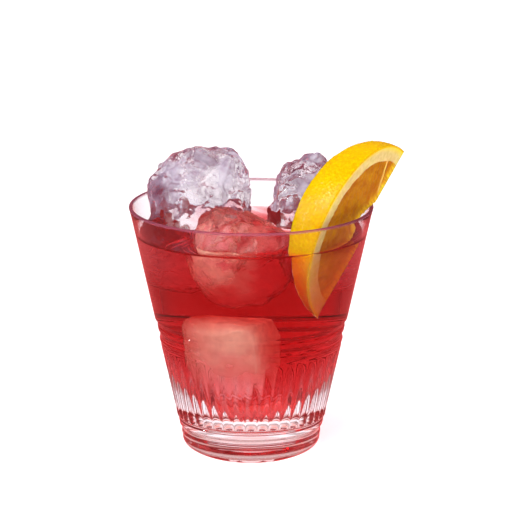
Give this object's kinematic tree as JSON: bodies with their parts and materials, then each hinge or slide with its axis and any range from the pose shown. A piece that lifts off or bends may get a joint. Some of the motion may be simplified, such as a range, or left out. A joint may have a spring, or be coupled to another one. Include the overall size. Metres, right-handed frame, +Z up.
{
  "type": "negroni in a fluted tumbler",
  "caption": "Red negroni over clear ice in a conical tumbler with a fluted skirt, with an orange wedge on the rim.",
  "frame": {"origin": "centre of the glass's flat underside, on the surface it stands on", "axes": "+Z up the glass's axis, +X to the side where the orange wedge leans over the rim, -Y towards the front"},
  "size_m": [0.1037, 0.092, 0.1212],
  "materials": {
    "clear_glass": "clear, smooth and glossy, cut flutes in the skirt",
    "red_drink": "clear deep red liquid",
    "ice": "clear wet ice, rough broken faces",
    "orange": "waxy pitted rind, pale pith, wet orange flesh"
  },
  "bodies": {
    "root": {"glass": "clear_glass", "drink": "red_drink", "ice_back_left": "ice", "ice_back_right": "ice", "ice_front": "ice", "orange_wedge": "orange"}
  },
  "joints": []
}
